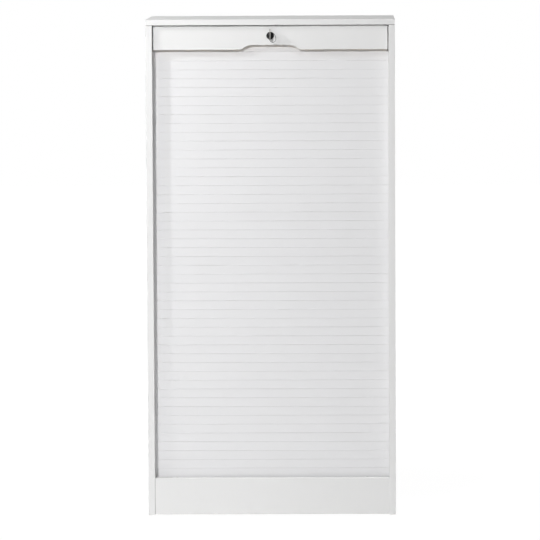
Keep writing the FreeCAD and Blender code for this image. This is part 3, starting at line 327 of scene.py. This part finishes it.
# %% Hardboard finishes
inner_back = Finish("white_hardboard", (0.80, 0.80, 0.785), roughness=0.5)
cloud = inner_back.noise(scale=5.0, detail=3.0)
inner_back.set("Base Color", inner_back.blend(cloud, (0.775, 0.775, 0.76, 1), (0.82, 0.82, 0.806, 1)))
inner_back.set("Roughness", inner_back.spread(inner_back.noise(scale=60.0), low=0.42, high=0.58))
inner_back.bump(inner_back.noise(scale=420.0, detail=3.0), depth=0.0002)
paint("inner_back_panel", inner_back)

MESH_PITCH = 0.0022
outer_back = Finish("brown_hardboard", (0.36, 0.235, 0.135), roughness=0.7)
cloud = outer_back.noise(scale=16.0, detail=5.0)
fibres = outer_back.noise(scale=1.0, detail=3.0, where=outer_back.stretched(x=900.0, y=900.0, z=260.0))
brown = outer_back.blend(cloud, (0.33, 0.213, 0.12, 1), (0.405, 0.272, 0.162, 1))
dark_fibre = (0.40 - fibres).most(0.0) * 3.5
outer_back.set("Base Color", outer_back.blend(dark_fibre, brown, (0.13, 0.075, 0.04, 1)))
outer_back.set("Roughness", outer_back.spread(fibres, low=0.62, high=0.86))
turn = 2 * math.pi / MESH_PITCH
mesh_mark = (outer_back.x * turn).sine() * (outer_back.z * turn).sine()
outer_back.bump(mesh_mark * 0.5 + fibres * 0.6, depth=0.0005)
paint("back_panel", outer_back)
print("hardboard finishes: 2")

# %% [markdown]
# ## Plastics
# The slats are extruded PVC: satin, a trace cooler than the boards, with very fine draw lines along their
# length. Runners and glides are moulded nylon, a little warmer and duller. The buffers are milky soft drops.

# %% Plastic finishes
pvc = Finish("white_pvc", WHITE, roughness=0.5, Specular_IOR_Level=0.3)
draw_lines = pvc.noise(scale=1.0, detail=2.0, where=pvc.stretched(x=1.5, y=1400.0, z=1400.0))
batch = pvc.noise(scale=1.0, detail=2.0, where=pvc.stretched(x=0.7, y=1.0, z=9.0))
pvc.set("Base Color", pvc.blend(batch, (0.815, 0.814, 0.823, 1), (0.86, 0.859, 0.868, 1)))
pvc.set("Roughness", pvc.spread(draw_lines, low=0.42, high=0.58))
pvc.bump(draw_lines, depth=0.00006)
paint("curtain_strip", pvc)

nylon = Finish("white_nylon", (0.80, 0.795, 0.77), roughness=0.5)
flow = nylon.noise(scale=45.0, detail=3.0)
nylon.set("Base Color", nylon.blend(flow, (0.76, 0.75, 0.72, 1), (0.83, 0.825, 0.80, 1)))
nylon.set("Roughness", nylon.spread(flow, low=0.42, high=0.6))
nylon.bump(nylon.noise(scale=900.0), depth=0.0002)
for node in ("left_runner", "right_runner", "floor_glides"):
    paint(node, nylon)

drop = Finish("clear_soft_plastic", (0.9, 0.9, 0.895), roughness=0.3, Transmission_Weight=0.05, IOR=1.47)
haze = drop.noise(scale=300.0)
drop.set("Roughness", drop.spread(haze, low=0.12, high=0.3))
drop.bump(haze, depth=0.0001)
paint("plinth_buffers", drop)
print("plastic finishes: 3")

# %% [markdown]
# ## Metals and wood fittings
# Plated steel has a bright skin with small clouds in its gloss, and the pressed strike is dull. Die-cast zinc
# is greyer and rougher. The key is nickel, polished and a little warm. The key's nickel and, far more, the
# ring's wire are painted darker than the bare metals: a painted dark reflection of surroundings they would
# mirror. The rosette and the plug's face have a black satin coat. The dowels that pin the boards together are
# beech.


# %% Metal finishes
GLOSS_FINENESS = 4
RELIEF_FINENESS = 9
METAL_RELIEF = 0.00002


def metal(name, dark, light, roughness, grain):
    """A metal whose colour and gloss wander between two values, in clouds of the given scale."""
    finish = Finish(name, light, roughness[0], Metallic=1.0)
    cloud = finish.noise(grain, detail=3.0)
    finish.set("Base Color", finish.blend(cloud, (*dark, 1), (*light, 1)))
    finish.set("Roughness", finish.spread(finish.noise(grain * GLOSS_FINENESS), *roughness))
    finish.bump(finish.noise(grain * RELIEF_FINENESS), METAL_RELIEF)
    return finish


steel = metal("bright_steel", (0.52, 0.53, 0.54), (0.64, 0.64, 0.64), roughness=(0.24, 0.42), grain=120.0)
# Painted dark reflection: the ring's wire is far darker than steel, standing in for the dark surroundings it
# would mirror.
ring_steel = metal("ring_steel", (0.13, 0.13, 0.133), (0.2, 0.2, 0.2), roughness=(0.2, 0.34), grain=300.0)
zinc = metal("zinc", (0.46, 0.47, 0.48), (0.62, 0.63, 0.64), roughness=(0.42, 0.62), grain=260.0)
# Painted dark reflection: the key's nickel is darker than the bare metal, standing in for darker surroundings
# it would mirror.
nickel = metal("nickel", (0.34, 0.335, 0.32), (0.44, 0.43, 0.41), roughness=(0.22, 0.36), grain=180.0)
dull_plate = metal("dull_plate", (0.40, 0.41, 0.42), (0.52, 0.53, 0.535), roughness=(0.60, 0.76), grain=90.0)
for node in ("cam_bolts", "lock_nut", "lock_cam", "cam_screw"):
    paint(node, steel)
paint("strike_bracket", dull_plate)
paint("cam_discs", zinc)
paint("key", nickel)

coat = Finish("black_lock", (0.014, 0.014, 0.015), roughness=0.5, Specular_IOR_Level=0.15)
speckle = coat.noise(scale=700.0, detail=3.0)
coat.set("Base Color", coat.blend(speckle, (0.010, 0.010, 0.011, 1), (0.022, 0.022, 0.023, 1)))
coat.set("Roughness", coat.spread(speckle, low=0.44, high=0.6))
coat.bump(speckle, depth=0.0001)
paint("lock_housing", coat)
paint("lock_plug", coat)

beech = Finish("beech", (0.62, 0.42, 0.24), roughness=0.65)
grain = beech.noise(scale=1.0, detail=4.0, where=beech.stretched(x=60.0, y=900.0, z=900.0))
beech.set("Base Color", beech.blend(grain, (0.50, 0.32, 0.17, 1), (0.70, 0.50, 0.30, 1)))
beech.set("Roughness", beech.spread(grain, low=0.55, high=0.75))
beech.bump(grain, depth=0.0002)
paint("wood_dowels", beech)
print("fitting finishes: 7")

# %% [markdown]
# ## Growing pieces with Geometry Nodes
# Slats, screws and pins repeat, so each is one small node group that builds the shape once from named sizes
# and copies it to points. The result becomes a plain mesh at the origin, ready to ride on its body.


# %% Geometry helpers
class Growth(Tree):
    """A Geometry Nodes group with named inputs."""

    KINDS = {float: "NodeSocketFloat", int: "NodeSocketInt", tuple: "NodeSocketVector"}

    def __init__(self, name, **sizes):
        super().__init__(bpy.data.node_groups.new(name, "GeometryNodeTree"))
        self.sizes = sizes
        face = self.tree.interface
        face.new_socket(name="Geometry", in_out="INPUT", socket_type="NodeSocketGeometry")
        for size, value in sizes.items():
            kind = self.KINDS.get(type(value), "NodeSocketMaterial")
            face.new_socket(name=size, in_out="INPUT", socket_type=kind)
        face.new_socket(name="Geometry", in_out="OUTPUT", socket_type="NodeSocketGeometry")
        self.source = self.tree.nodes.new("NodeGroupInput")
        self.target = self.tree.nodes.new("NodeGroupOutput")

    def size(self, name):
        return Wire(self, self.source.outputs[name])

    def join(self, *shapes):
        node = self.tree.nodes.new("GeometryNodeJoinGeometry")
        for shape in shapes:
            self.tree.links.new(shape.socket, node.inputs[0])
        return Wire(self, node.outputs[0])

    def vector(self, x, y, z):
        return self.add("ShaderNodeCombineXYZ", None, [x, y, z])

    def close(self, shape):
        """End the group: real geometry, one material."""
        real = self.add("GeometryNodeRealizeInstances", None, [shape])
        done = self.add("GeometryNodeSetMaterial", None, {"Geometry": real, "Material": self.size("finish")})
        self.tree.links.new(done.socket, self.target.inputs[0])

    def grow(self, name, points, smooth_below=35.0):
        """Run the group on a set of points and keep the result as a plain mesh."""
        mesh = bpy.data.meshes.new(name)
        mesh.from_pydata(points, [], [])
        piece = bpy.data.objects.new(name, mesh)
        scene.collection.objects.link(piece)
        modifier = piece.modifiers.new(name, "NODES")
        modifier.node_group = self.tree
        for item in self.tree.interface.items_tree:
            if item.in_out == "INPUT" and item.name in self.sizes:
                modifier[item.identifier] = self.sizes[item.name]
        ready = piece.evaluated_get(bpy.context.evaluated_depsgraph_get())
        grown = bpy.data.meshes.new_from_object(ready)
        piece.modifiers.clear()
        piece.data = grown
        bpy.data.meshes.remove(mesh)
        grown.name = name
        grown.polygons.foreach_set("material_index", [0] * len(grown.polygons))
        grown.materials.clear()
        grown.materials.append(self.sizes["finish"])
        grown.shade_smooth()
        grown.set_sharp_from_angle(angle=math.radians(smooth_below))
        print(name, "has", len(grown.polygons), "faces")
        return piece


def solids(node):
    """The box of each separate solid in a node: triangles that share a corner belong together."""
    mesh = nodes[node].data
    corners = [tuple(round(value, 6) for value in vertex.co) for vertex in mesh.vertices]
    parent = {corner: corner for corner in corners}

    def root(corner):
        while parent[corner] != corner:
            corner = parent[corner]
        return corner

    for face in mesh.polygons:
        first, *others = (corners[index] for index in face.vertices)
        for other in others:
            parent[root(other)] = root(first)
    groups = {}
    for corner in parent:
        groups.setdefault(root(corner), []).append(corner)
    return [(Vector(map(min, zip(*group))), Vector(map(max, zip(*group)))) for group in groups.values()]


def turned(growth, rings, sides=20):
    """A turned solid inside a group: a disc pulled up ring by ring, each ring a radius and a height."""
    radius, level = rings[0]
    disc = growth.add("GeometryNodeMeshCircle", {"fill_type": "NGON"}, {"Vertices": sides, "Radius": radius})
    disc = growth.add("GeometryNodeTransform", None, {
        "Geometry": disc, "Translation": growth.vector(0.0, 0.0, level),
    })
    underside = growth.add("GeometryNodeFlipFaces", None, [disc])
    shape, top = disc, True
    for (radius, level), (next_radius, next_level) in zip(rings, rings[1:]):
        shape, top = growth.add("GeometryNodeExtrudeMesh", None, {
            "Mesh": shape, "Selection": top, "Individual": False,
            "Offset": growth.vector(0.0, 0.0, next_level - level), "Offset Scale": 1.0,
        }, out=("Mesh", "Top"))
        shape = growth.add("GeometryNodeScaleElements", None, {
            "Geometry": shape, "Selection": top, "Scale": next_radius / radius,
        })
    closed = growth.join(shape, underside)
    return growth.add("GeometryNodeMergeByDistance", None, {"Geometry": closed, "Distance": 1e-7})


print("growth helpers ready")

# %% [markdown]
# ## The slatted curtain
# Forty-nine slats hook into one another. Each is a rounded bar swept along its length, with a thin neck that
# reaches into the slat above. Real slats turn round a bend under the floor. Here the curtain rides on the
# cabinet; how far it would close up behind the plinth as the bar comes down is worked out, but nothing
# makes it flatten with the bar's joint.

# %% Slats
SLAT_COUNT = 49
SLAT_PLAY = 0.0006
SLAT_GAP = 0.0003
SLAT_ROUND = 0.0006
ROUND_STEPS = 4
NECK = 0.0012
NECK_DEPTH = 0.0016
NECK_ROUNDS = 6.0

slat_low, slat_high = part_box("curtain_slats")
strip_low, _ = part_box("curtain_strip")
first_joint = strip_low.z - SLAT_PLAY / 2
slat_pitch = (first_joint - slat_low.z + SLAT_PLAY / 2) / SLAT_COUNT
top_slat = (0.0, (slat_low.y + slat_high.y) / 2, first_joint - slat_pitch / 2)

slats = Growth(
    "slat_curtain", length=slat_high.x - slat_low.x, pitch=slat_pitch, gap=SLAT_GAP,
    depth=slat_high.y - slat_low.y, edge_round=SLAT_ROUND, neck=NECK, neck_depth=NECK_DEPTH,
    count=SLAT_COUNT, start=top_slat, finish=pvc.material,
)
half_length = slats.size("length") * 0.5
path = slats.add("GeometryNodeCurvePrimitiveLine", None, {
    "Start": slats.vector(-1 * half_length, 0.0, 0.0), "End": slats.vector(half_length, 0.0, 0.0),
})
height = slats.size("pitch") - slats.size("gap")
section = slats.add("GeometryNodeCurvePrimitiveQuadrilateral", None, [slats.size("depth"), height])
section = slats.add("GeometryNodeFilletCurve", {"mode": "POLY"}, {
    "Curve": section, "Radius": slats.size("edge_round"), "Count": ROUND_STEPS,
})
bar_shape = slats.add("GeometryNodeCurveToMesh", None, {
    "Curve": path, "Profile Curve": section, "Fill Caps": True,
})
neck_section = slats.add("GeometryNodeCurvePrimitiveQuadrilateral", None, [
    slats.size("neck"), slats.size("edge_round") * NECK_ROUNDS,
])
neck_shape = slats.add("GeometryNodeCurveToMesh", None, {
    "Curve": path, "Profile Curve": neck_section, "Fill Caps": True,
})
neck_shape = slats.add("GeometryNodeTransform", None, {
    "Geometry": neck_shape, "Translation": slats.vector(
        0.0, slats.size("neck_depth") - slats.size("depth") * 0.5, slats.size("pitch") * 0.5),
})
row = slats.add("GeometryNodeMeshLine", None, {
    "Count": slats.size("count"), "Start Location": slats.size("start"),
    "Offset": slats.vector(0.0, 0.0, slats.size("pitch") * -1.0),
})
copies = slats.add("GeometryNodeInstanceOnPoints", None, {
    "Points": row, "Instance": slats.join(bar_shape, neck_shape),
})
slats.close(copies)
curtain = slats.grow("slat_curtain", [], smooth_below=5.0)

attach(curtain, "cabinet")
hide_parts("curtain_slats")

travel = next(joint["range_m"][1] for joint in frame["joints"] if joint["name"] == "curtain_slide")
closed_up = strip_low.z - travel - slat_low.z - SLAT_GAP
share_left = closed_up / (max(point.co.z for point in curtain.data.vertices) - slat_low.z)
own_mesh(curtain)
print("curtain closes up to", round(closed_up * 1000, 1), "mm")

# %% [markdown]
# ## Cross-head screws
# The CAD screws are plain. The real ones have a domed head with a pressed cross. The head and shank are
# turned from rings, two small blocks cut the cross, and the group copies the screw to the seat of every CAD
# screw. The blocks reach to different depths, so that their floors don't meet in one plane.

# %% Screws
SCREW_HEAD = 0.0035
SCREW_RISE = 0.0020
SCREW_SHANK = 0.0015
SCREW_LENGTH = 0.014
CROSS_WIDTH = 0.0009
CROSS_SPAN = 0.0042
DEEP_ARM = 1.2
SHALLOW_ARM = 1.14

screw = Growth(
    "cross_head_screw", head=SCREW_HEAD, rise=SCREW_RISE, shank=SCREW_SHANK, length=SCREW_LENGTH,
    cross_width=CROSS_WIDTH, cross_span=CROSS_SPAN, aim=(0.0, 0.0, 0.0), finish=steel.material,
)
head, rise, shank = (screw.size(name) for name in ("head", "rise", "shank"))
tip = screw.size("length") * -1.0
shape = turned(screw, [
    (shank * 0.15, tip), (shank, tip + shank * 1.6), (shank, rise * 0.0), (head * 0.97, rise * 0.0),
    (head, rise * 0.12), (head, rise * 0.40), (head * 0.92, rise * 0.68), (head * 0.72, rise * 0.90),
    (head * 0.45, rise * 1.0),
])
width, span = screw.size("cross_width"), screw.size("cross_span")
arms = (screw.vector(span, width, rise * DEEP_ARM), screw.vector(width, span, rise * SHALLOW_ARM))
for arm in arms:
    block = screw.add("GeometryNodeMeshCube", None, {"Size": arm})
    cutter = screw.add("GeometryNodeTransform", None, {
        "Geometry": block, "Translation": screw.vector(0.0, 0.0, rise),
    })
    shape = screw.add("GeometryNodeMeshBoolean", {"operation": "DIFFERENCE"}, {
        "Mesh 1": shape, "Mesh 2": cutter,
    })
screw.close(screw.add("GeometryNodeInstanceOnPoints", None, {
    "Points": screw.size("Geometry"), "Instance": shape, "Rotation": screw.size("aim"),
}))

TO_REAR = (-math.pi / 2, 0.0, 0.0)
TO_FLOOR = (math.pi, 0.0, 0.0)


def fit_screws(node, body, aim):
    """Stand a detailed screw on the seat of every CAD screw of a node."""
    seats = []
    for low, high in solids(node):
        middle = (low + high) / 2
        if aim == TO_REAR:
            middle.y = high.y - SCREW_RISE
        else:
            middle.z = low.z + SCREW_RISE
        seats.append(tuple(middle))
    screw.sizes["aim"] = aim
    piece = screw.grow("cross_head_" + node, seats)
    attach(piece, body)
    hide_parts(node)


fit_screws("back_screws", "cabinet", TO_REAR)
fit_screws("strike_screws", "cabinet", TO_FLOOR)
fit_screws("strip_screws", "curtain_bar", TO_REAR)
fit_screws("runner_screws", "curtain_bar", TO_REAR)

# %% [markdown]
# ## Shelf pins
# A shelf pin is a short steel peg with chamfered ends and a turned ring groove where it leaves the board.

# %% Pins
PIN_CHAMFER = 0.0006
PIN_GROOVE = 0.0004

pin_boxes = solids("shelf_pins")
pin_low, pin_high = pin_boxes[0]
pin = Growth(
    "shelf_pin", radius=(pin_high.z - pin_low.z) / 2, length=pin_high.x - pin_low.x, chamfer=PIN_CHAMFER,
    groove=PIN_GROOVE, finish=steel.material,
)
radius, length, chamfer, groove = (pin.size(name) for name in ("radius", "length", "chamfer", "groove"))
middle = length * 0.5
pin_shape = turned(pin, [
    (radius - chamfer, length * 0.0), (radius, chamfer), (radius, middle - groove * 2.0),
    (radius - groove, middle - groove), (radius - groove, middle + groove), (radius, middle + groove * 2.0),
    (radius, length - chamfer), (radius - chamfer, length),
])
pin.close(pin.add("GeometryNodeInstanceOnPoints", None, {
    "Points": pin.size("Geometry"), "Instance": pin_shape, "Rotation": (0.0, math.pi / 2, 0.0),
}))
pins = pin.grow("turned_shelf_pins", [
    (low.x, (low.y + high.y) / 2, (low.z + high.z) / 2) for low, high in pin_boxes
])
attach(pins, "cabinet")
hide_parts("shelf_pins")

# %% [markdown]
# ## Split ring
# The key hangs on a split ring: flat wire wound twice. A spiral with equal radii is that path, and a small
# rounded section swept along it is the wire. The CAD ring's points say where its plane lies: they spread
# least along the ring's axis.

# %% Ring
RING_WIRE_WIDTH = 0.0012
RING_WIRE_RISE = 0.0004
RING_TURNS = 2.0
RING_STEPS = 64
END_PLAY = 0.02
WIRE_FIT = 0.96
WIRE_ROUND = 0.3

ring_low, ring_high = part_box("key_ring")
ring_centre = (ring_low + ring_high) / 2
points = np.array([vertex.co for vertex in nodes["key_ring"].data.vertices])
_, directions = np.linalg.eigh(np.cov((points - points.mean(0)).T))
ring_axis = Vector(directions[:, 0])
ring_radius = float(np.linalg.norm(points - np.array(ring_centre), axis=1).mean())

coil = Growth(
    "split_ring", radius=ring_radius, wire_width=RING_WIRE_WIDTH, wire_rise=RING_WIRE_RISE,
    turns=RING_TURNS, place=tuple(ring_centre), aim=tuple(ring_axis.to_track_quat("Z", "Y").to_euler()),
    finish=ring_steel.material,
)
climb = coil.size("wire_rise") * (coil.size("turns") - END_PLAY)
path = coil.add("GeometryNodeCurveSpiral", None, {
    "Resolution": RING_STEPS, "Rotations": coil.size("turns"), "Start Radius": coil.size("radius"),
    "End Radius": coil.size("radius"), "Height": climb,
})
section = coil.add("GeometryNodeCurvePrimitiveQuadrilateral", None, [
    coil.size("wire_width"), coil.size("wire_rise") * WIRE_FIT,
])
section = coil.add("GeometryNodeFilletCurve", {"mode": "POLY"}, {
    "Curve": section, "Radius": coil.size("wire_rise") * WIRE_ROUND, "Count": 2,
})
wire = coil.add("GeometryNodeCurveToMesh", None, {
    "Curve": path, "Profile Curve": section, "Fill Caps": True,
})
wire = coil.add("GeometryNodeTransform", None, {
    "Geometry": wire, "Translation": coil.vector(0.0, 0.0, climb * -0.5),
})
wire = coil.add("GeometryNodeTransform", None, {
    "Geometry": wire, "Translation": coil.size("place"), "Rotation": coil.size("aim"),
})
coil.close(wire)
ring = coil.grow("split_ring", [])
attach(ring, "key_ring")
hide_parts("key_ring")

# %% [markdown]
# ## Floor, lights and background
# A small lamp in front, to the left and above, draws the crisp shadow lines under the bar and beside the left
# panel. A weaker lamp close by on the left adds a second, fainter set of shadows. A low one behind, on the
# right, keeps the right side and the back from going grey and doesn't reach the front. The world gives the
# rest. The floor and the world look white to the camera, but light the cabinet only at a plain level.


# %% Lamps
def lamp(name, place, aim, power, width, spread=180.0):
    """A square lamp of the given power in watts, turned to a point and unseen by the camera."""
    light = bpy.data.lights.new(name, "AREA")
    light.energy = power
    light.size = width
    light.spread = math.radians(spread)
    holder = bpy.data.objects.new(name, light)
    holder.location = place
    holder.rotation_mode = "QUATERNION"
    holder.rotation_quaternion = (Vector(aim) - Vector(place)).to_track_quat("-Z", "Y")
    holder.visible_camera = False
    scene.collection.objects.link(holder)


lamp("front_lamp", place=(-3.55, -11.0, 5.4), aim=(-2.0, -0.2, 1.2), power=54.6, width=0.5, spread=41.0)
lamp("side_lamp", place=(-1.35, -0.80, 2.05), aim=(0, -0.2, 1.0), power=9.3, width=0.06)
lamp("rear_lamp", place=(3.4, 2.7, 0.9), aim=(0.2, 0.1, 0.7), power=85.0, width=1.2)
print("lamps: 3")

# %% World and floor
SKY_LEVEL = 0.325
FLOOR_REACH = 14.0
FLOOR_GLOW = 1.04
SHADOW_SHARE = 0.07
FADE_START, FADE_END = 0.7, 1.9

world = bpy.data.worlds.new("studio")
scene.world = world
world.use_nodes = True
sky = Tree(world.node_tree)
backdrop = world.node_tree.nodes["Background"]


def seen_directly(tree):
    """1 for rays that show the background: from the camera, off gloss, or through clear plastic."""
    names = ("Is Camera Ray", "Is Glossy Ray", "Is Transmission Ray")
    camera_ray, glossy_ray, clear_ray = tree.add("ShaderNodeLightPath", out=names)
    return camera_ray.most(glossy_ray).most(clear_ray)


shown = seen_directly(sky)
backdrop.inputs["Color"].default_value = (1, 1, 1, 1)
world.node_tree.links.new((shown * (1 - SKY_LEVEL) + SKY_LEVEL).socket, backdrop.inputs["Strength"])

floor_mesh = bpy.data.meshes.new("floor")
signs = ((-1, -1), (1, -1), (1, 1), (-1, 1))
corners = [(x * FLOOR_REACH, y * FLOOR_REACH, 0) for x, y in signs]
floor_mesh.from_pydata(corners, [], [(0, 1, 2, 3)])
floor = bpy.data.objects.new("floor", floor_mesh)
scene.collection.objects.link(floor)

ground = Finish("pale_floor", (0.9, 0.9, 0.9), roughness=0.9, Specular_IOR_Level=0.0)
glow = ground.add("ShaderNodeEmission", None, {"Color": (1, 1, 1, 1), "Strength": FLOOR_GLOW})
distance = ground.add("ShaderNodeVectorMath", {"operation": "LENGTH"}, [ground.place], out="Value")
near = ground.add("ShaderNodeMapRange", {"interpolation_type": "SMOOTHSTEP"}, {
    "Value": distance, "From Min": FADE_START, "From Max": FADE_END, "To Min": SHADOW_SHARE, "To Max": 0.0,
})
factor = seen_directly(ground) * (1 - near)
mixed = ground.add("ShaderNodeMixShader", None, [factor, Wire(ground, ground.shader.outputs[0]), glow])
ground.tree.links.new(mixed.socket, ground.tree.nodes["Material Output"].inputs["Surface"])
floor_mesh.materials.append(ground.material)
print("floor and sky ready")
